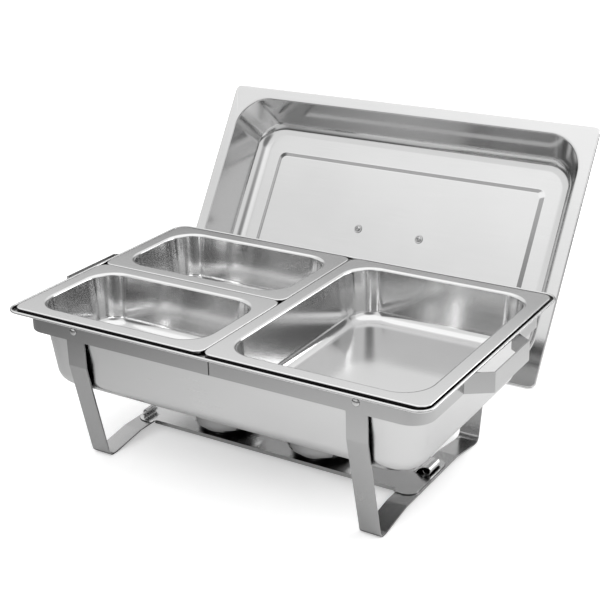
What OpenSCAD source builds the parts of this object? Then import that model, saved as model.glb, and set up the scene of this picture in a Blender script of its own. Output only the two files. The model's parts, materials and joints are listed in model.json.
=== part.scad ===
// Folding-frame chafing dish: burner shelf, water pan, three food pans and a loose lid.
// X runs along the dish, Y from front to back, Z up from the table.

/* [Food pans] */
// Length of the three food pans side by side
pans_l = 530; // [500:1:540]
// Depth of the food pans, front to back
pans_w = 325; // [310:1:328]
// Width of the flat flange round each food pan
flange_w = 15; // [12:0.5:15]
// Depth of each food pan
food_depth = 65; // [40:1:68]
// Gap between neighbouring food pans
pan_gap = 0.8; // [0.6:0.1:2]

/* [Water pan] */
// Height of the food pans' flanges above the table
top_z = 188; // [180:1:205]
// Depth of the water pan below the flanges
water_depth = 100; // [85:1:105]
// Overall length of the water pan over its rim
rim_l = 540.4; // [538:0.2:542]
// Overall width of the water pan over its rim
rim_w = 341.4; // [338:0.2:344]
// Sheet thickness of the pans and the lid
sheet = 0.8; // [0.6:0.1:1]

/* [Frame] */
// Length of the band without the handles
band_l = 516; // [514:1:520]
// Width of the band, front to back
band_w = 306; // [305.6:0.2:308]
// Height of the band strap
band_h = 23.5; // [20:0.5:25]
// Length over the two end handles
handle_l = 569; // [560:1:580]
// Length of each handle's straight grip
grip_l = 90; // [80:1:100]
// Distance between the leg rivets of the two ends
leg_span = 365; // [360:1:370]
// Width of the leg strap
leg_w = 25; // [22:0.5:26]
// Distance between the front foot and the rear foot of one leg frame
foot_span = 246; // [236:1:250]
// Height at which the legs bend inwards
bend_z = 126; // [115:1:135]

/* [Shelf and burners] */
// Width of the shelf between its folded lips
shelf_w = 74; // [70:1:80]
// Place of the left fuel holder along the shelf
burner_left_x = -80; // [-84:1:-60]
// Place of the right fuel holder along the shelf
burner_right_x = 54; // [50:1:75]
// Outer diameter of the fuel holders
burner_d = 86; // [80:1:88]
// Height of the fuel holders
burner_h = 50; // [40:1:55]

/* [Lid] */
// Length of the lid over its flange
lid_l = 584; // [576:1:588]
// Width of the lid over its flange
lid_w = 361; // [356:1:363]
// Depth of the lid
lid_depth = 60; // [56:1:61]
// Lean of the standing lid from upright, in degrees
lid_lean = 33.3; // [30:0.1:34]
// Distance of the lid's lower edge behind the middle of the dish
lid_y = 283; // [278:1:290]
// Sideways place of the standing lid
lid_x = -91; // [-95:1:0]
// Distance between the two handle screws
screw_span = 100; // [90:1:110]

/* [Hidden] */
$fn = 64;

steel = "#c9cbcd";
satin = "#b4b6b9";
dark = "#8b8d90";

// Lengths shared by several parts
band_t = 1.5;
leg_t = 2;
shelf_t = 1;
side_gap = 0.3;
band_top = top_z - 5.7;
pivot_z = band_top - band_h / 2;
leg_y = band_w / 2 - band_t - side_gap - leg_t / 2;

// The loose food pans sit slightly back in the rim's play
pans_back = 1;

// The standing lid reaches furthest at its upper shoulder, which sets the origin
lid_wall_in = 33;
lid_lip = 4;
shoulder_r = 20;
shoulder_v = lid_w - lid_wall_in - shoulder_r;
back_y = lid_y + shoulder_v * sin(lid_lean) + (lid_depth - shoulder_r) * cos(lid_lean) + shoulder_r;
shift_x = -(handle_l / 2 + lid_x - lid_l / 2) / 2;
shift_y = -(back_y - rim_w / 2) / 2;

// Moves the dish so that the origin is under the middle of its overall box
module placed() {
    translate([shift_x, shift_y, 0]) children();
}

// ---- Pressed sheet shells ----

CORNER_STEPS = 8;

// Points of a rounded rectangle with half sizes hx and hy and corner radius r, at height z
function ring(hx, hy, r, z) = [
    for (c = [[1, 1, 0], [-1, 1, 90], [-1, -1, 180], [1, -1, 270]])
        for (i = [0 : CORNER_STEPS])
            let (a = c[2] + 90 * i / CORNER_STEPS)
                [c[0] * (hx - r) + r * cos(a), c[1] * (hy - r) + r * sin(a), z]
];

// Rings of a fillet of radius f that turns from a flat floor into a wall of the given draft
function floor_fillet(hx, hy, r, z, f, draft, steps = 5) = [
    for (i = [0 : steps])
        let (a = (90 - draft) * i / steps)
            [hx + f * sin(a), hy + f * sin(a), r + f * sin(a), z + f * (1 - cos(a))]
];

function reversed(v) = [for (i = [len(v) - 1 : -1 : 0]) v[i]];

// Closed solid through a list of rings, each [half length, half width, corner radius, height]
module lofted(rings) {
    n = 4 * (CORNER_STEPS + 1);
    m = len(rings);
    points = [for (k = rings) each ring(k[0], k[1], k[2], k[3])];
    sides = [
        for (j = [0 : m - 2])
            for (i = [0 : n - 1])
                let (a = j * n + i, b = j * n + (i + 1) % n)
                    each [[a, a + n, b], [b, a + n, b + n]]
    ];
    first_cap = [for (i = [0 : n - 1]) i];
    last_cap = [for (i = [n - 1 : -1 : 0]) (m - 1) * n + i];
    polyhedron(points, concat([first_cap, last_cap], sides));
}

// A food pan of the given outer length and width, with its flange's top face at top_z
module food_pan(l, w) {
    hx = l / 2;
    hy = w / 2;
    edge_r = 12;
    lip = 4;
    mouth_in = flange_w + 4;
    mouth_r = 36;
    floor_f = 12;
    taper = 6;
    low = top_z - food_depth;
    bx = hx - mouth_in - taper - floor_f;
    by = hy - mouth_in - taper - floor_f;
    lofted(concat(
        floor_fillet(bx, by, mouth_r - taper - floor_f, low, floor_f + sheet, 6),
        [[hx - mouth_in + sheet, hy - mouth_in + sheet, mouth_r, top_z - 5],
         [hx - mouth_in + 2.2, hy - mouth_in + 2.2, mouth_r + 1.5, top_z - 2],
         [hx - flange_w, hy - flange_w, mouth_r + 3, top_z - sheet],
         [hx - sheet - 1, hy - sheet - 1, edge_r - 1, top_z - sheet],
         [hx - sheet, hy - sheet, edge_r - sheet, top_z - 1.6],
         [hx - sheet, hy - sheet, edge_r - sheet, top_z - lip],
         [hx, hy, edge_r, top_z - lip],
         [hx, hy, edge_r, top_z - 1.2],
         [hx - 0.4, hy - 0.4, edge_r - 0.4, top_z - 0.4],
         [hx - 1.2, hy - 1.2, edge_r - 1.2, top_z],
         [hx - flange_w, hy - flange_w, mouth_r + 3, top_z],
         [hx - mouth_in + 1.6, hy - mouth_in + 1.6, mouth_r + 1, top_z - 1.3],
         [hx - mouth_in, hy - mouth_in, mouth_r - 0.5, top_z - 5]],
        reversed(floor_fillet(bx, by, mouth_r - taper - floor_f, low + sheet, floor_f, 6))
    ));
}

module half_pan() {
    color(steel) placed()
        translate([pans_l / 4, pans_back, 0])
            food_pan(pans_l / 2 - pan_gap, pans_w - pan_gap);
}

module quarter_pan(side) {
    color(steel) placed()
        translate([-pans_l / 4, side * pans_w / 4 + pans_back, 0])
            food_pan(pans_l / 2 - pan_gap, pans_w / 2 - pan_gap);
}

module quarter_pan_front() quarter_pan(-1);

module quarter_pan_back() quarter_pan(1);

// Water pan: deep drawn body, a ledge for the food pans and a rolled rim round it
module water_pan() {
    hx = rim_l / 2;
    hy = rim_w / 2;
    body_x = 248.3;
    body_y = 145.8;
    body_r = 38;
    taper = 8;
    floor_f = 20;
    low = top_z - water_depth;
    ledge = top_z - 4.6;
    bead_w = 3.5;
    bead_top = top_z - 0.5;
    rim_r = 18;
    bx = body_x - taper - floor_f;
    by = body_y - taper - floor_f;
    br = body_r - 4 - floor_f;
    color(satin) placed() lofted(concat(
        floor_fillet(bx, by, br, low, floor_f, 5),
        [[body_x, body_y, body_r, ledge - 4],
         [body_x + 1, body_y + 1, body_r + 1, ledge - 1.8],
         [body_x + 3, body_y + 3, body_r + 2, ledge - sheet],
         [hx - bead_w, hy - bead_w, rim_r - 3, ledge - sheet],
         [hx - 1.2, hy - 1.2, rim_r - 1.2, ledge - 0.9],
         [hx - 0.2, hy - 0.2, rim_r - 0.2, ledge + 0.4],
         [hx, hy, rim_r, ledge + 1.8],
         [hx - 0.2, hy - 0.2, rim_r - 0.2, bead_top - 1],
         [hx - 0.9, hy - 0.9, rim_r - 0.9, bead_top - 0.2],
         [hx - 1.8, hy - 1.8, rim_r - 1.8, bead_top],
         [hx - 2.8, hy - 2.8, rim_r - 2.8, bead_top - 0.3],
         [hx - bead_w, hy - bead_w, rim_r - bead_w, bead_top - 1.3],
         [hx - bead_w, hy - bead_w, rim_r - bead_w, ledge],
         [body_x + 3, body_y + 3, body_r + 2, ledge],
         [body_x + 0.2, body_y + 0.2, body_r + 0.2, ledge - 1.2],
         [body_x - sheet, body_y - sheet, body_r - sheet, ledge - 4]],
        reversed(floor_fillet(bx, by, br, low + sheet, floor_f - sheet, 5))
    ));
}

// ---- Folding frame ----

module rounded_square(hx, hy, r) {
    square([2 * (hx - r), 2 * hy], center = true);
    square([2 * hx, 2 * (hy - r)], center = true);
    for (sx = [-1, 1], sy = [-1, 1])
        translate([sx * (hx - r), sy * (hy - r)]) circle(r);
}

// Outline of the band's right end with its bowed handle, filled in by the given amount
module handle_outline(inset) {
    end_x = band_l / 2;
    out_x = handle_l / 2;
    rise = out_x - end_x;
    run = 18;
    slant = sqrt(rise * rise + run * run);
    shift = inset * (slant - rise) / run;
    polygon([
        [end_x - inset - 6, -grip_l / 2 - run],
        [end_x - inset, -grip_l / 2 - run + shift],
        [out_x - inset, -grip_l / 2 + shift],
        [out_x - inset, grip_l / 2 - shift],
        [end_x - inset, grip_l / 2 + run - shift],
        [end_x - inset - 6, grip_l / 2 + run]
    ]);
}

// Right half of the band seen from above
module band_half_outline() {
    hx = band_l / 2;
    hy = band_w / 2;
    corner = 26;
    difference() {
        union() {
            rounded_square(hx, hy, corner);
            handle_outline(0);
        }
        rounded_square(hx - band_t, hy - band_t, corner - band_t);
        handle_outline(band_t);
        translate([side_gap / 2 - hx - 2, -hy - 1]) square([hx + 2, 2 * hy + 2]);
    }
}

module band_right_half() {
    difference() {
        translate([0, 0, band_top - band_h])
            linear_extrude(band_h) band_half_outline();
        for (s = [-1, 1])
            translate([leg_span / 2, s * band_w / 2, pivot_z])
                rotate([90, 0, 0]) cylinder(h = 8, r = rivet_r + fit, center = true);
    }
}

module frame_band_right() {
    color(satin) placed() band_right_half();
}

module frame_band_left() {
    color(satin) placed() mirror([1, 0, 0]) band_right_half();
}

// Small plate that laps the joint between the two halves of the band
module band_splice(side) {
    plate_w = 13;
    plate_h = 17;
    plate_t = 1;
    plate_x = -9;
    color(satin) placed()
        translate([plate_x, side * (band_w / 2 + plate_t / 2) - plate_t / 2, band_top - band_h + 0.5])
            cube([plate_w, plate_t, plate_h]);
}

module band_splice_front() band_splice(-1);

module band_splice_rear() band_splice(1);

// Strap outline of thickness t along a path, with mitred bends
function unit(v) = v / norm(v);

function path_normal(p, i) =
    let (
        before = i > 0 ? unit(p[i] - p[i - 1]) : unit(p[1] - p[0]),
        after = i < len(p) - 1 ? unit(p[i + 1] - p[i]) : before,
        mean = unit(before + after)
    )
    [-mean[1], mean[0]] / (mean * after);

module strap(p, t) {
    polygon(concat(
        [for (i = [0 : len(p) - 1]) p[i] + path_normal(p, i) * t / 2],
        [for (i = [len(p) - 1 : -1 : 0]) p[i] - path_normal(p, i) * t / 2]
    ));
}

// Path with its inner corners rounded to radius r
function rounded_path(p, r, steps = 5) = [
    for (i = [0 : len(p) - 1])
        each (i == 0 || i == len(p) - 1) ? [p[i]] :
            let (
                u = unit(p[i - 1] - p[i]),
                w = unit(p[i + 1] - p[i]),
                half = acos(u * w) / 2,
                centre = p[i] + unit(u + w) * r / sin(half),
                start = p[i] + u * r / tan(half),
                from = atan2(start[1] - centre[1], start[0] - centre[0]),
                turn = (u[0] * w[1] - u[1] * w[0] > 0 ? -1 : 1) * (180 - 2 * half)
            )
            [for (k = [0 : steps]) let (a = from + turn * k / steps) centre + r * [cos(a), sin(a)]]
];

rivet_r = 2.5;
fit = 0.05;
foot_z = leg_t / 2;
foot_flat = 12;
rise_z = 8;
flat_half = 64;
bend_r = 8;

leg_side = [
    [-leg_y, pivot_z], [-leg_y, bend_z],
    [-foot_span / 2, foot_z], [-foot_span / 2 + foot_flat, foot_z],
    [-flat_half, rise_z], [flat_half, rise_z],
    [foot_span / 2 - foot_flat, foot_z], [foot_span / 2, foot_z],
    [leg_y, bend_z], [leg_y, pivot_z]
];

// One U-shaped leg frame: front leg, crossbar and rear leg bent from one strap
module leg_frame(side) {
    color(satin) placed()
        translate([side * leg_span / 2, 0, 0]) difference() {
            union() {
                translate([-leg_w / 2, 0, 0]) rotate([90, 0, 90])
                    linear_extrude(leg_w) strap(rounded_path(leg_side, bend_r), leg_t);
                for (s = [-1, 1])
                    translate([0, s * leg_y, pivot_z]) rotate([90, 0, 0])
                        cylinder(h = leg_t, d = leg_w - 1.5, center = true);
            }
            for (s = [-1, 1])
                translate([0, s * leg_y, pivot_z]) rotate([90, 0, 0])
                    cylinder(h = 3 * leg_t, r = rivet_r + fit, center = true);
        }
}

module leg_frame_left() leg_frame(-1);

module leg_frame_right() leg_frame(1);

washer_t = 0.8;
washer_y = leg_y - leg_t / 2 - side_gap / 2 - washer_t;

// Rivet along +Y with its domed head outside the band and its tail inside the leg
module rivet() {
    head_r = 4.5;
    head_h = 2;
    tail_h = 1.3;
    tail_r = 4;
    head_y = band_w / 2 + 0.05;
    tail_y = washer_y - 0.1;
    rotate([-90, 0, 0]) rotate_extrude() polygon(concat(
        [[0, tail_y - tail_h], [tail_r, tail_y - tail_h], [tail_r, tail_y],
         [rivet_r, tail_y], [rivet_r, head_y]],
        [for (a = [0 : 10 : 90]) [head_r * cos(a), head_y + head_h * sin(a)]]
    ));
}

module leg_pivot_rivets() {
    color(steel) placed()
        for (x = [-1, 1], turn = [0, 180])
            translate([x * leg_span / 2, 0, pivot_z]) rotate([0, 0, turn]) rivet();
}

module leg_pivot_washers() {
    color(steel) placed()
        for (x = [-1, 1], s = [-1, 1])
            translate([x * leg_span / 2, s * (washer_y + washer_t / 2), pivot_z])
                rotate([90, 0, 0]) difference() {
                    cylinder(h = washer_t, d = 10, center = true);
                    cylinder(h = 3 * washer_t, r = rivet_r + fit, center = true);
                }
}

// ---- Burner shelf and fuel holders ----

shelf_z = rise_z + leg_t / 2 + side_gap;
shelf_top = shelf_z + shelf_t;
lip_end = (leg_span - leg_w) / 2 - 1;
shelf_end = (leg_span + leg_w) / 2 - 2;
lobe_start = (leg_span - leg_w) / 2 - 1.5;
tab_w = 24;
tab_y = 17;
hook_y = 22;
hook_x = shelf_end - 9;
hook_r = 4.8;

// Spring tab at the plate's right end: it arches up and rolls in at its tip
module rolled_tab() {
    roll_r = 4.6;
    roll_x = shelf_end - 8.5;
    roll_z = shelf_z + 1.2 + roll_r;
    arch = [
        [lobe_start - 1, shelf_z + shelf_t / 2], [lobe_start + 2, shelf_z + 2],
        [lobe_start + 6, shelf_z + 6], [lobe_start + 10, shelf_z + 9]
    ];
    roll = [
        for (a = [115 : -15 : -170]) [roll_x + roll_r * cos(a), roll_z + roll_r * sin(a)]
    ];
    translate([0, tab_y + tab_w / 2, 0]) rotate([90, 0, 0])
        linear_extrude(tab_w) strap(concat(arch, roll), shelf_t);
}

// Hook at the plate's left end, drawn for the right: it turns up and back over the plate
module upturned_hook() {
    hook_z = shelf_z + shelf_t / 2 + hook_r;
    turn = [for (a = [-90 : 15 : 105]) [hook_x + hook_r * cos(a), hook_z + hook_r * sin(a)]];
    translate([0, hook_y + tab_w / 2, 0]) rotate([90, 0, 0])
        linear_extrude(tab_w) strap(concat([[hook_x - 4, shelf_z + shelf_t / 2]], turn), shelf_t);
}

// One end of the shelf plate, over the crossbar, with an opening from x = start round its tab
module shelf_end_outline(start, middle_y) {
    lobe_w = shelf_w + 16;
    lobe_r = 14;
    border = 3;
    difference() {
        union() {
            translate([lobe_start, -lobe_w / 2]) square([shelf_end - lobe_start - lobe_r, lobe_w]);
            translate([lobe_start, -lobe_w / 2 + lobe_r])
                square([shelf_end - lobe_start, lobe_w - 2 * lobe_r]);
            for (s = [-1, 1])
                translate([shelf_end - lobe_r, s * (lobe_w / 2 - lobe_r)]) circle(lobe_r);
        }
        translate([start, middle_y - tab_w / 2 - 0.5]) square([shelf_end - start - border, tab_w + 1]);
    }
}

module burner_shelf() {
    lip_h = 5;
    color(satin) placed() {
        translate([0, 0, shelf_z]) linear_extrude(shelf_t)
            square([2 * lobe_start, shelf_w], center = true);
        for (s = [-1, 1])
            translate([-lip_end, s * (shelf_w / 2 - shelf_t / 2) - shelf_t / 2, shelf_top - lip_h])
                cube([2 * lip_end, shelf_t, lip_h]);
        translate([0, 0, shelf_z]) linear_extrude(shelf_t) shelf_end_outline(lobe_start, tab_y);
        rolled_tab();
        rotate([0, 0, 180]) {
            translate([0, 0, shelf_z]) linear_extrude(shelf_t) shelf_end_outline(hook_x, hook_y);
            upturned_hook();
        }
    }
}

burner_z = shelf_top + side_gap;
burner_y = -4;
wall = 1;
pin_r = 2;
lug_t = 2;
lug_z = burner_h - 5.5;
pivot_out = burner_d / 2 + 6;

// Fuel holder: a drawn cup with a narrower foot, a rolled rim and a lug for its cover
module fuel_holder(x) {
    r = burner_d / 2;
    foot_r = r - 14;
    rim_r = 1.5;
    top = burner_h;
    color(satin) placed() translate([x, burner_y, burner_z]) difference() {
        union() {
            rotate_extrude() polygon([
                [0, 0], [foot_r, 0], [foot_r, 2.5], [foot_r + 4, 5], [r - 4, 10], [r - 1, 13.5],
                [r, 17], [r, top - rim_r], [r - wall, top - rim_r], [r - wall, 17.3],
                [r - wall - 1, 14.2], [r - wall - 3.5, 11], [foot_r + 3.4, 6], [foot_r - wall, 3.2],
                [foot_r - wall, wall], [0, wall]
            ]);
            translate([0, 0, top - rim_r]) rotate_extrude()
                translate([r, 0]) circle(rim_r, $fn = 24);
            translate([-5, r - 0.5, lug_z]) cube([10, 5.5, lug_t]);
            translate([0, pivot_out, lug_z]) cylinder(h = lug_t, r = 5);
        }
        translate([0, pivot_out, lug_z - 1]) cylinder(h = lug_t + 2, r = pin_r + fit);
    }
}

module fuel_holder_left() fuel_holder(burner_left_x);

module fuel_holder_right() fuel_holder(burner_right_x);

cover_z = burner_h + side_gap;
cover_t = 1.2;

// Swivelling cover: a disc on a rear pivot with a turned-up finger tab at the front
module fuel_cover(x) {
    r = burner_d / 2 - 1;
    tab = 14;
    color(dark) placed() translate([x, burner_y, burner_z + cover_z]) difference() {
        union() {
            cylinder(h = cover_t, r = r);
            translate([-6, r - 6, 0]) cube([12, pivot_out - r + 6, cover_t]);
            translate([0, pivot_out, 0]) cylinder(h = cover_t, r = 6);
            translate([-tab / 2, -r - 4, 0]) cube([tab, 8, cover_t]);
            translate([-tab / 2, -r - 5.2, 0]) cube([tab, cover_t, 8]);
        }
        translate([0, pivot_out, -1]) cylinder(h = 2 * cover_t + 2, r = pin_r + fit);
    }
}

module fuel_cover_left() fuel_cover(burner_left_x);

module fuel_cover_right() fuel_cover(burner_right_x);

// Shouldered pin that holds a cover on its lug
module cover_pivot(x) {
    head_r = 3.6;
    low = lug_z - 1.35;
    high = cover_z + cover_t + 0.15;
    color(steel) placed() translate([x, burner_y + pivot_out, burner_z])
        rotate_extrude() polygon([
            [0, low], [head_r, low], [head_r, low + 1.2], [pin_r, low + 1.2],
            [pin_r, high], [head_r, high], [head_r, high + 0.8], [head_r - 1.4, high + 1.8], [0, high + 2]
        ]);
}

module cover_pivot_left() cover_pivot(burner_left_x);

module cover_pivot_right() cover_pivot(burner_right_x);

// ---- Lid ----

// Stands the lid on its long edge behind the dish, inside facing the front
module standing() {
    placed() translate([lid_x, lid_y, lid_lip * sin(lid_lean)])
        rotate([-lid_lean, 0, 0]) translate([0, 0, lid_w / 2]) rotate([-90, 0, 0]) children();
}

screw_r = 2.5;
lid_flange = 17.5;
panel_step = 3;

// Lid with its mouth at height 0 and its top away from the viewer at lid_depth
module lid_shell() {
    hx = lid_l / 2;
    hy = lid_w / 2;
    f = shoulder_r;
    edge_r = 9;
    mouth_r = 52;
    floor_r = mouth_r - 8;
    panel_x = 215;
    panel_y = 97;
    panel_r = 9;
    cx = hx - lid_wall_in - f;
    cy = hy - lid_wall_in - f;
    color(steel) standing() difference() {
        mirror([0, 0, 1]) translate([0, 0, -lid_depth]) lofted(concat(
            [[panel_x - 4, panel_y - 4, panel_r - 3, panel_step],
             [panel_x - 2, panel_y - 2, panel_r - 1, panel_step - 0.5],
             [panel_x + 2, panel_y + 2, panel_r + 3, 0.5],
             [panel_x + 4, panel_y + 4, panel_r + 5, 0]],
            floor_fillet(cx, cy, floor_r - f, 0, f, 15, 6),
            [[hx - lid_flange - 2, hy - lid_flange - 2, mouth_r - 2, lid_depth - 5],
             [hx - lid_flange, hy - lid_flange, mouth_r, lid_depth - 2.2],
             [hx - lid_flange + 3, hy - lid_flange + 3, mouth_r + 1, lid_depth - sheet - 0.2],
             [hx - 3.4, hy - 3.4, edge_r - 2.6, lid_depth - sheet - 0.2],
             [hx - 1.4, hy - 1.4, edge_r - 1.4, lid_depth - 1.4],
             [hx - sheet, hy - sheet, edge_r - sheet, lid_depth - lid_lip],
             [hx, hy, edge_r, lid_depth - lid_lip],
             [hx, hy, edge_r, lid_depth - 2],
             [hx - 0.6, hy - 0.6, edge_r - 0.6, lid_depth - 0.8],
             [hx - 2.2, hy - 2.2, edge_r - 2.2, lid_depth],
             [hx - lid_flange + 2, hy - lid_flange + 2, mouth_r + 1, lid_depth],
             [hx - lid_flange - 0.9, hy - lid_flange - 0.9, mouth_r - 1, lid_depth - 1.4],
             [hx - lid_flange - 2.9, hy - lid_flange - 2.9, mouth_r - 2.9, lid_depth - 5]],
            reversed(floor_fillet(cx, cy, floor_r - f, sheet, f - sheet, 15, 6)),
            [[panel_x + 4, panel_y + 4, panel_r + 5, sheet],
             [panel_x + 2, panel_y + 2, panel_r + 3, sheet + 0.5],
             [panel_x - 2, panel_y - 2, panel_r - 1, sheet + panel_step - 0.5],
             [panel_x - 4, panel_y - 4, panel_r - 3, sheet + panel_step]]
        ));
        for (s = [-1, 1])
            translate([s * screw_span / 2, 0, lid_depth - 8]) cylinder(h = 16, r = screw_r + 0.15);
    }
}

// Height of the lid's pressed-in panel, outside and inside
panel_out = lid_depth - panel_step;
panel_in = panel_out - sheet;
handle_t = 2.5;
handle_rise = 36;
handle_w = 22;
handle_foot = panel_out + 0.1;

module lid_handle() {
    z0 = handle_foot + handle_t / 2;
    z1 = z0 + handle_rise;
    feet = screw_span / 2;
    color(steel) standing() difference() {
        translate([0, handle_w / 2, 0]) rotate([90, 0, 0])
            linear_extrude(handle_w) strap(rounded_path([
                [-feet - 9, z0], [-feet + 9, z0], [-feet + 18, z1],
                [feet - 18, z1], [feet - 9, z0], [feet + 9, z0]
            ], 5), handle_t);
        for (s = [-1, 1])
            translate([s * feet, 0, handle_foot - 1]) cylinder(h = handle_t + 2, r = screw_r + 0.15);
    }
}

washer_top = panel_in - 0.05;

// Cross-recess screws from inside the lid, through the handle's feet
module lid_screws() {
    head_r = 4.2;
    head_h = 2.6;
    head_z = washer_top - 1 - 0.05;
    end_z = handle_foot + handle_t + 5.5;
    slot = 1.1;
    color(steel) standing()
        for (s = [-1, 1]) translate([s * screw_span / 2, 0, 0]) difference() {
            rotate_extrude() polygon([
                [0, head_z - head_h], [head_r - 1.6, head_z - head_h + 0.3],
                [head_r - 0.4, head_z - head_h + 1.1], [head_r, head_z - 0.6], [head_r, head_z],
                [screw_r, head_z], [screw_r, end_z - 0.6], [screw_r - 0.6, end_z], [0, end_z]
            ]);
            for (turn = [0, 90]) rotate([0, 0, turn])
                translate([-slot * 2, -slot / 2, head_z - head_h - 1])
                    cube([slot * 4, slot, 2.2]);
        }
}

module lid_washers() {
    color(steel) standing()
        for (s = [-1, 1]) translate([s * screw_span / 2, 0, washer_top - 1]) difference() {
            cylinder(h = 1, r = 6);
            translate([0, 0, -1]) cylinder(h = 3, r = screw_r + fit);
        }
}

module lid_nuts() {
    color(steel) standing()
        for (s = [-1, 1])
            translate([s * screw_span / 2, 0, handle_foot + handle_t + 0.05]) difference() {
                cylinder(h = 4, r = 4.6, $fn = 6);
                translate([0, 0, -1]) cylinder(h = 6, r = screw_r + fit);
            }
}

frame_band_left();
frame_band_right();
band_splice_front();
band_splice_rear();
leg_frame_left();
leg_frame_right();
leg_pivot_rivets();
leg_pivot_washers();
burner_shelf();
fuel_holder_left();
fuel_holder_right();
fuel_cover_left();
fuel_cover_right();
cover_pivot_left();
cover_pivot_right();
water_pan();
half_pan();
quarter_pan_front();
quarter_pan_back();
lid_shell();
lid_handle();
lid_screws();
lid_washers();
lid_nuts();
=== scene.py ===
"""Studio view of a folding-frame chafing dish: polished food pans, a satin frame and a standing lid."""

import json
import math

import bpy
from mathutils import Matrix, Vector


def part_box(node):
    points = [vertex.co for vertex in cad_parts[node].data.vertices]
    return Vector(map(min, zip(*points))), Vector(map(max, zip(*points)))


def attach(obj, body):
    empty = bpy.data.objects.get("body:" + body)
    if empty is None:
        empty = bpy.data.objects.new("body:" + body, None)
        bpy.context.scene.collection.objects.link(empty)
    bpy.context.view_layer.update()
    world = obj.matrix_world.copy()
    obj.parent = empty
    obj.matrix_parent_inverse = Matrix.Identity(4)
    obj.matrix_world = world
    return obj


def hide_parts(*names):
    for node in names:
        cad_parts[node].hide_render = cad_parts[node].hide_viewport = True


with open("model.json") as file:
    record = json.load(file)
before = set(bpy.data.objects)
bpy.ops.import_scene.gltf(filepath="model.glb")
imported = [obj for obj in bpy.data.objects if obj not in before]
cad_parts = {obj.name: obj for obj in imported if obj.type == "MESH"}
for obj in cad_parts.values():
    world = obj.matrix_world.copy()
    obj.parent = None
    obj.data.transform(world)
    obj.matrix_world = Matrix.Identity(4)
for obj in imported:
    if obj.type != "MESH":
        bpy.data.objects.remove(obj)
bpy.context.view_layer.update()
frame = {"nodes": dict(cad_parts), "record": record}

MM = 0.001
LID_LEAN = math.radians(33.3)

# ---- Places read from the frame ----


def size_of(node):
    """Centre and full size of a CAD node's box at rest."""
    low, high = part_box(node)
    low, high = Vector(low), Vector(high)
    return (low + high) / 2, high - low


WATER_CENTRE, WATER_SIZE = size_of("water_pan")
HALF_CENTRE, HALF_SIZE = size_of("half_pan")
TOP_Z = HALF_CENTRE.z + HALF_SIZE.z / 2
DISH = Vector((WATER_CENTRE.x, WATER_CENTRE.y, TOP_Z))

# ---- Camera ----

CAMERA_AZIMUTH = math.radians(31.87)
CAMERA_ELEVATION = math.radians(22.41)
CAMERA_ROLL = math.radians(-1.31)
CAMERA_FROM_DISH = Vector((0.7474, -1.1505, 0.5593))
CAMERA_LENS = 76.07


def make_camera():
    data = bpy.data.cameras.new("camera")
    data.lens = CAMERA_LENS
    data.sensor_width = 36
    camera = bpy.data.objects.new("camera", data)
    bpy.context.scene.collection.objects.link(camera)
    a, e, r = CAMERA_AZIMUTH, CAMERA_ELEVATION, CAMERA_ROLL
    right = Vector((math.cos(a), math.sin(a), 0))
    back = Vector((math.sin(a) * math.cos(e), -math.cos(a) * math.cos(e), math.sin(e)))
    up = back.cross(right)
    x = right * math.cos(r) + up * math.sin(r)
    y = up * math.cos(r) - right * math.sin(r)
    turn = Matrix((x, y, back)).transposed().to_4x4()
    camera.matrix_world = Matrix.Translation(DISH + CAMERA_FROM_DISH) @ turn
    bpy.context.scene.camera = camera


# ---- Node helpers for materials ----


class Nodes:
    """Short names for building a node tree."""

    def __init__(self, tree):
        self.tree = tree

    def add(self, kind, inputs=None, **settings):
        node = self.tree.nodes.new(kind)
        for key, value in settings.items():
            setattr(node, key, value)
        for key, value in (inputs or {}).items():
            if isinstance(value, bpy.types.NodeSocket):
                self.tree.links.new(value, node.inputs[key])
            else:
                node.inputs[key].default_value = value
        return node

    def link(self, source, target):
        self.tree.links.new(source, target)

    def stretched_noise(self, stretch, scale, detail, rough):
        where = self.add("ShaderNodeTexCoord").outputs["Object"]
        mapped = self.add("ShaderNodeMapping", {"Vector": where, "Scale": stretch})
        noise = self.add(
            "ShaderNodeTexNoise",
            {"Vector": mapped.outputs[0], "Scale": scale, "Detail": detail, "Roughness": rough},
        )
        return noise.outputs["Fac"]

    def remap(self, value, low, high, from_low=0.3, from_high=0.7):
        node = self.add(
            "ShaderNodeMapRange",
            {"Value": value, "From Min": from_low, "From Max": from_high, "To Min": low, "To Max": high},
        )
        return node.outputs["Result"]

    def sum(self, a, b):
        return self.add("ShaderNodeMath", {0: a, 1: b}, operation="ADD").outputs[0]

    def times(self, a, b):
        return self.add("ShaderNodeMath", {0: a, 1: b}, operation="MULTIPLY").outputs[0]


# Noise scales of the brushed grain and of the handling smudges, and the height of the grain in metres
GRAIN_SCALE = 1400.0
SMUDGE_SCALE = 11.0
GRAIN_HEIGHT = 0.00003
# How the noise is stretched along the brushing
GRAIN = {"x": (0.01, 1, 1), "z": (1, 1, 0.01), "none": (1, 1, 1)}


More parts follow.
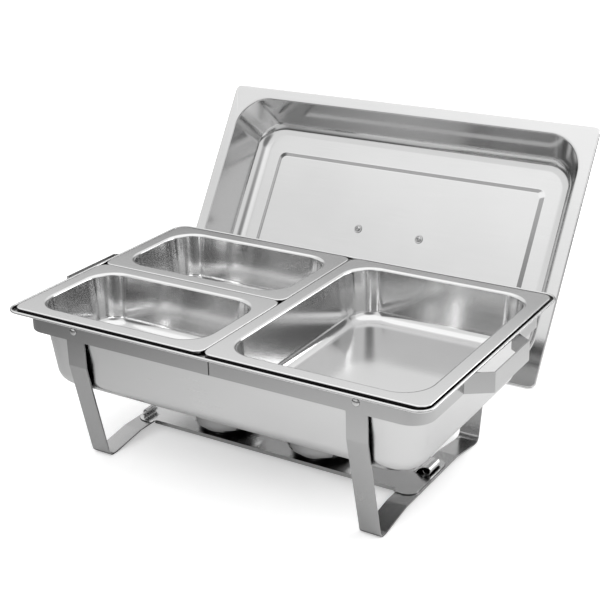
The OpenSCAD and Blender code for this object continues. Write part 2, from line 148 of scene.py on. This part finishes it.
def steel(
    name, tone, rough, grain="x", grain_depth=0.04, grain_rough=0.03, smudge=0.03, wear_and_highlight=0.1, reach=0.009
):
    """Stainless steel: brushed grain, handling smudges, edges brighter from wear and a painted highlight,
    and painted shade in the crevices.
    """
    material = bpy.data.materials.new(name)
    material.use_nodes = True
    n = Nodes(material.node_tree)
    shader = material.node_tree.nodes["Principled BSDF"]
    shader.inputs["Metallic"].default_value = 1.0
    brushed = n.stretched_noise(GRAIN[grain], GRAIN_SCALE, 3.0, 0.6)
    cloudy = n.stretched_noise((1, 1, 1), SMUDGE_SCALE, 3.0, 0.5)
    # Convex edges get a brighter colour and a little less roughness: partly wear, partly a painted
    # highlight.
    edge = n.add("ShaderNodeNewGeometry").outputs["Pointiness"]
    worn_edge_highlight = n.remap(edge, 0.0, 1.0, 0.52, 0.6)
    streak = n.remap(brushed, -grain_rough, grain_rough)
    level = n.sum(n.remap(cloudy, rough - smudge, rough + smudge), streak)
    n.link(n.sum(level, n.times(worn_edge_highlight, -0.04)), shader.inputs["Roughness"])
    # Painted shade: ambient occlusion darkens the colour in crevices and gaps, such as the channel round
    # the food pans.
    crevice_occlusion = n.add("ShaderNodeAmbientOcclusion", {"Distance": reach}, samples=24).outputs["AO"]
    painted_crevice_shade = n.remap(crevice_occlusion, 0.02, 1.0, 0.45, 0.8)
    shade = n.sum(n.remap(brushed, tone - 0.012, tone + 0.012), n.times(worn_edge_highlight, wear_and_highlight))
    shade = n.times(n.sum(shade, n.remap(cloudy, -0.01, 0.01)), painted_crevice_shade)
    colour = n.add("ShaderNodeCombineColor", {"Red": shade, "Green": shade, "Blue": shade})
    n.link(colour.outputs[0], shader.inputs["Base Color"])
    bump = n.add("ShaderNodeBump", {"Height": brushed, "Strength": grain_depth, "Distance": GRAIN_HEIGHT})
    n.link(bump.outputs[0], shader.inputs["Normal"])
    return material


MATERIALS = {
    "food_pans": steel("pan_steel", 0.64, 0.14, "x", 0.02, 0.02, 0.02),
    "water_pan": steel("water_pan_steel", 0.58, 0.24, "x", 0.02),
    "lid": steel("lid_steel", 0.6, 0.13, "x", 0.02, 0.02, 0.02, reach=0.003),
    "lid_handle": steel("lid_handle_steel", 0.6, 0.2, "x", wear_and_highlight=0),
    # The band and the legs are toned darker than the pans: painted shade for the dim floor close under the
    # dish that they reflect.
    "band": steel("band_steel", 0.4, 0.26, "x", 0.03, wear_and_highlight=0),
    "legs": steel("leg_steel", 0.4, 0.28, "z", 0.04, wear_and_highlight=0),
    "shelf": steel("shelf_steel", 0.56, 0.24, "x", 0.03, wear_and_highlight=0),
    "burners": steel("burner_steel", 0.5, 0.1, "none", wear_and_highlight=0),
    "covers": steel("cover_steel", 0.42, 0.2, "none", wear_and_highlight=0),
    "fasteners": steel("fastener_steel", 0.5, 0.12, "none", wear_and_highlight=0),
}

# ---- Sheet metal built from rings ----

CORNER_STEPS = 20
SIDE_STEPS = 6


def rounded_ring(half_x, half_y, radius, z):
    """Points round a rounded rectangle, with the same count for every size."""
    points = []
    for k, (sx, sy) in enumerate(((1, 1), (-1, 1), (-1, -1), (1, -1))):
        cx, cy = sx * (half_x - radius), sy * (half_y - radius)
        for i in range(CORNER_STEPS + 1):
            a = math.pi / 2 * (k + i / CORNER_STEPS)
            points.append(Vector((cx + radius * math.cos(a), cy + radius * math.sin(a), z)))
        last = points[-1]
        nx, ny = ((-1, 1), (-1, -1), (1, -1), (1, 1))[k]
        a = math.pi / 2 * (k + 1)
        follow = Vector((
            nx * (half_x - radius) + radius * math.cos(a),
            ny * (half_y - radius) + radius * math.sin(a),
            z,
        ))
        points.extend(last.lerp(follow, i / SIDE_STEPS) for i in range(1, SIDE_STEPS))
    return points


def filleted(corners, step=math.radians(9)):
    """A path of (inset, height) points from corners of (inset, height, fillet radius)."""
    path = []
    for i, (u, z, r) in enumerate(corners):
        here = Vector((u, z))
        if i in (0, len(corners) - 1) or r == 0:
            path.append(here)
            continue
        before = (Vector(corners[i - 1][:2]) - here).normalized()
        after = (Vector(corners[i + 1][:2]) - here).normalized()
        half = before.angle(after) / 2
        centre = here + (before + after).normalized() * (r / math.sin(half))
        start = here + before * (r / math.tan(half)) - centre
        turn = math.pi - 2 * half
        if before.x * after.y - before.y * after.x > 0:
            turn = -turn
        count = max(3, round(abs(turn) / step))
        for k in range(count + 1):
            a = turn * k / count
            path.append(centre + Vector((
                start.x * math.cos(a) - start.y * math.sin(a),
                start.x * math.sin(a) + start.y * math.cos(a),
            )))
    return path


def interpolate(table, u):
    """Value at u on a line through (u, value) pairs, level beyond its ends."""
    if u <= table[0][0]:
        return table[0][1]
    for (u0, v0), (u1, v1) in zip(table, table[1:]):
        if u <= u1:
            return v0 + (v1 - v0) * (u - u0) / (u1 - u0)
    return table[-1][1]


def pressed_sheet(
    name, half_x, half_y, path, radii, thickness, place, body, slot, replaced, narrow=((0, 0),)
):
    """A pressed sheet: a path of (inset, height) carried round a rounded rectangle, then thickened."""
    vertices, faces = [], []
    for point in path:
        inset = point.x
        radius = interpolate(radii, inset)
        side = half_y - inset - interpolate(narrow, inset)
        vertices.extend(rounded_ring(half_x - inset, side, radius, point.y))
    count = 4 * (CORNER_STEPS + SIDE_STEPS)
    for j in range(len(path) - 1):
        for i in range(count):
            a, b = j * count + i, j * count + (i + 1) % count
            faces.append((a, b, b + count, a + count))
    first = (len(path) - 1) * count
    faces.append([first + i for i in range(count)])
    mesh = bpy.data.meshes.new(name)
    mesh.from_pydata([place @ v for v in vertices], [], faces)
    mesh.update()
    for polygon in mesh.polygons:
        polygon.use_smooth = True
    piece = bpy.data.objects.new(name, mesh)
    bpy.context.scene.collection.objects.link(piece)
    solid = piece.modifiers.new("sheet", "SOLIDIFY")
    solid.thickness = thickness
    solid.offset = -1
    solid.use_quality_normals = True
    even = piece.modifiers.new("even_normals", "WEIGHTED_NORMAL")
    even.keep_sharp = True
    mesh.materials.append(MATERIALS[slot])
    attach(piece, body)
    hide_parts(replaced)


SHEET = 0.8 * MM
LIP_DROP = 4 * MM
FLANGE = 15 * MM
FOOD_DEPTH = HALF_SIZE.z


def food_pan(node, body):
    """A food pan: a down-turned lip, a flat flange, and a drawn body with a wide bottom fillet."""
    centre, size = size_of(node)
    mouth = FLANGE + 2.6 * MM
    path = filleted([
        (0, -LIP_DROP, 0),
        (0, 0, 1.4 * MM),
        (mouth, 0, 3.2 * MM),
        (mouth + 6.9 * MM, SHEET - FOOD_DEPTH, 13 * MM),
        (mouth + 34 * MM, SHEET - FOOD_DEPTH, 0),
    ])
    radii = [
        (0, 12 * MM), (2 * MM, 10.5 * MM), (FLANGE - 1 * MM, 36 * MM),
        (mouth + 1 * MM, 36 * MM), (mouth + 34 * MM, 6 * MM),
    ]
    place = Matrix.Translation((centre.x, centre.y, TOP_Z))
    pressed_sheet(
        node + "_sheet", size.x / 2, size.y / 2, path, radii, SHEET, place, body, "food_pans", node
    )


def water_pan():
    """The water pan: a rolled rim, a ledge that carries the food pans, and a deep drawn body."""
    depth = WATER_SIZE.z
    top = WATER_CENTRE.z + WATER_SIZE.z / 2
    ledge = -4.1 * MM
    bead = 1.75 * MM
    wall = WATER_SIZE.x / 2 - 247.5 * MM
    rim = [
        Vector((bead + (bead - 0.1 * MM) * math.cos(a), -bead + (bead - 0.1 * MM) * math.sin(a)))
        for a in (math.radians(280 - 20 * k) for k in range(0, 14))
    ]
    inner = filleted([
        (2 * bead, -1.6 * MM, 0),
        (2 * bead, ledge, 0.7 * MM),
        (wall - 1.2 * MM, ledge, 3 * MM),
        (wall + 8.9 * MM, SHEET - depth, 20 * MM),
        (wall + 44 * MM, SHEET - depth, 0),
    ])
    path = rim[:-2] + inner
    radii = [
        (0, 18 * MM), (2 * bead, 14.5 * MM), (wall - 4 * MM, 40 * MM),
        (wall, 37.2 * MM), (wall + 8 * MM, 33 * MM), (wall + 44 * MM, 8 * MM),
    ]
    place = Matrix.Translation((WATER_CENTRE.x, WATER_CENTRE.y, top))
    pressed_sheet(
        "water_pan_sheet", WATER_SIZE.x / 2, WATER_SIZE.y / 2, path, radii, SHEET, place,
        "water", "water_pan", "water_pan",
    )


# The lid: half sizes of the panel, its rise, the step's half width, and room left inside the CAD box
LID_FLANGE = 16.5 * MM
PANEL_HALF_X = 215 * MM
PANEL_HALF_Y = 97 * MM
PANEL_RISE = 3 * MM
PANEL_STEP = 3.2 * MM
LID_ROOM = 0.4 * MM


def lid():
    """The lid: a flat flange, sloping sides, a round shoulder and a panel pressed into its top."""
    across = Vector((1, 0, 0))
    upright = Vector((0, math.sin(LID_LEAN), math.cos(LID_LEAN)))
    behind = Vector((0, math.cos(LID_LEAN), -math.sin(LID_LEAN)))
    corners = [v.co for v in frame["nodes"]["lid_shell"].data.vertices]
    spans = [[f(c.dot(axis) for c in corners) for f in (min, max)] for axis in (across, upright, behind)]
    half_x, half_y = ((high - low) / 2 - LID_ROOM for low, high in spans[:2])
    depth = spans[2][1] - spans[2][0]
    middle = across * sum(spans[0]) / 2 + upright * sum(spans[1]) / 2 + behind * spans[2][0]
    turn = Matrix((across, upright, -behind)).transposed().to_4x4()
    place = Matrix.Translation(middle) @ turn
    floor = SHEET - depth
    panel = floor + PANEL_RISE
    panel_in = half_x - PANEL_HALF_X
    narrow = ((58 * MM, 0), (panel_in - 4 * MM, half_y - PANEL_HALF_Y - panel_in))
    path = filleted([
        (0, -LIP_DROP, 0),
        (0, 0, 1.8 * MM),
        (LID_FLANGE, 0, 2.5 * MM),
        (39.5 * MM, floor, 20 * MM),
        (panel_in - PANEL_STEP, floor, 3 * MM),
        (panel_in + PANEL_STEP, panel, 3 * MM),
        (panel_in + 20 * MM, panel, 0),
    ])
    radii = [
        (0, 9 * MM), (2 * MM, 8 * MM), (LID_FLANGE - 1 * MM, 52 * MM), (LID_FLANGE + 4 * MM, 50 * MM),
        (33 * MM, 44 * MM), (55 * MM, 24 * MM), (panel_in, 9 * MM), (panel_in + 20 * MM, 5 * MM),
    ]
    pressed_sheet(
        "lid_sheet", half_x, half_y, path, radii, SHEET, place, "lid", "lid", "lid_shell", narrow
    )


# ---- CAD nodes that stay ----

REPLACED = ("half_pan", "quarter_pan_front", "quarter_pan_back", "water_pan", "lid_shell")


def soften(node):
    """Rounds a CAD node's cut edges by a little, so that they catch the light."""
    bevel = node.modifiers.new("soft_edges", "BEVEL")
    bevel.width = 0.25 * MM
    bevel.segments = 2
    bevel.limit_method = "ANGLE"
    bevel.angle_limit = math.radians(40)
    bevel.harden_normals = True
    bevel.use_clamp_overlap = True


def finish_cad_nodes():
    """Gives each remaining CAD node its steel and softens its cut edges."""
    slots = {s["node"]: s["material_slot"] for s in frame["record"]["subparts"]}
    for name, node in frame["nodes"].items():
        if name in REPLACED:
            continue
        if not node.data.materials:
            node.data.materials.append(None)
        for entry in node.material_slots:
            entry.link = "OBJECT"
            entry.material = MATERIALS[slots[name]]
        soften(node)


# ---- Studio ----

# The studio's dimmer side, fixed in the world: in front and to the right, where the main camera stands
DARK_FRONT = (0.488, -0.785, 0.381)
# Centre of the light painted on the floor for reflections: the steel sees the floor brightest here
PAINTED_LIGHT_CENTRE = (0.25, -0.15, 0)


def make_floor():
    """A pale floor: near white to the camera, and in reflections grey with a brighter patch of painted
    light.
    """
    mesh = bpy.data.meshes.new("floor")
    reach = 30
    mesh.from_pydata(
        [(-reach, -reach, 0), (reach, -reach, 0), (reach, reach, 0), (-reach, reach, 0)],
        [], [(0, 1, 2, 3)],
    )
    floor = bpy.data.objects.new("floor", mesh)
    bpy.context.scene.collection.objects.link(floor)
    material = bpy.data.materials.new("floor")
    material.use_nodes = True
    n = Nodes(material.node_tree)
    shader = material.node_tree.nodes["Principled BSDF"]
    shader.inputs["Roughness"].default_value = 1.0
    shader.inputs["Specular IOR Level"].default_value = 0.0
    shader.inputs["Emission Color"].default_value = (1, 1, 1, 1)
    seen = n.add("ShaderNodeLightPath").outputs["Is Camera Ray"]
    n.link(n.times(seen, 0.42), shader.inputs["Emission Strength"])
    where = n.add("ShaderNodeTexCoord").outputs["Object"]
    away = n.add("ShaderNodeVectorMath", {0: where, 1: PAINTED_LIGHT_CENTRE}, operation="DISTANCE").outputs["Value"]
    # Painted light: in reflections the floor is brightest near its centre and greyer further away.
    painted_pool = n.times(n.remap(away, 0.95, 0.35, 0.4, 0.8), n.remap(away, 1.0, 0.25, 0.75, 1.3))
    shade = n.add("ShaderNodeMix", {"Factor": seen, "A": painted_pool, "B": 0.86}, data_type="FLOAT").outputs[0]
    grey = n.add("ShaderNodeCombineColor", {"Red": shade, "Green": shade, "Blue": shade})
    n.link(grey.outputs[0], shader.inputs["Base Color"])
    mesh.materials.append(material)


def make_world():
    """A white surround to the camera, and in reflections a tent with a dimmer front and horizon."""
    world = bpy.data.worlds.new("studio")
    bpy.context.scene.world = world
    world.use_nodes = True
    n = Nodes(world.node_tree)
    background = world.node_tree.nodes["Background"]
    direction = n.add("ShaderNodeTexCoord").outputs["Generated"]
    axes = n.add("ShaderNodeSeparateXYZ", {"Vector": direction}).outputs
    height = axes["Z"]
    tent = n.remap(n.sum(height, n.times(axes["Y"], -0.25)), 0.22, 1.08, 0.11, 0.23)
    tent = n.sum(tent, n.remap(height, 0.0, 0.4, 0.6, 0.75))
    front = n.add("ShaderNodeVectorMath", {0: direction, 1: DARK_FRONT}, operation="DOT_PRODUCT")
    tent = n.times(tent, n.remap(front.outputs["Value"], 1.0, 0.25, 0.88, 0.97))
    seen = n.add("ShaderNodeLightPath").outputs["Is Camera Ray"]
    level = n.add("ShaderNodeMix", {"Factor": seen, "A": tent, "B": 1.0}, data_type="FLOAT")
    n.link(level.outputs[0], background.inputs["Strength"])
    background.inputs["Color"].default_value = (1, 1, 1, 1)


def area_light(name, place, aim, size, power):
    data = bpy.data.lights.new(name, "AREA")
    data.shape = "RECTANGLE"
    data.size, data.size_y = size
    data.energy = power
    light = bpy.data.objects.new(name, data)
    bpy.context.scene.collection.objects.link(light)
    light.location = place
    light.rotation_mode = "QUATERNION"
    light.rotation_quaternion = (Vector(aim) - Vector(place)).to_track_quat("-Z", "Y")


make_camera()
make_world()
make_floor()
area_light("back_right", (1.9, 1.3, 0.9), (0.2, 0, 0), (1.6, 1.2), 22)
food_pan("half_pan", "half")
food_pan("quarter_pan_front", "quarter_front")
food_pan("quarter_pan_back", "quarter_back")
water_pan()
lid()
finish_cad_nodes()
bpy.context.scene.view_settings.view_transform = "Standard"
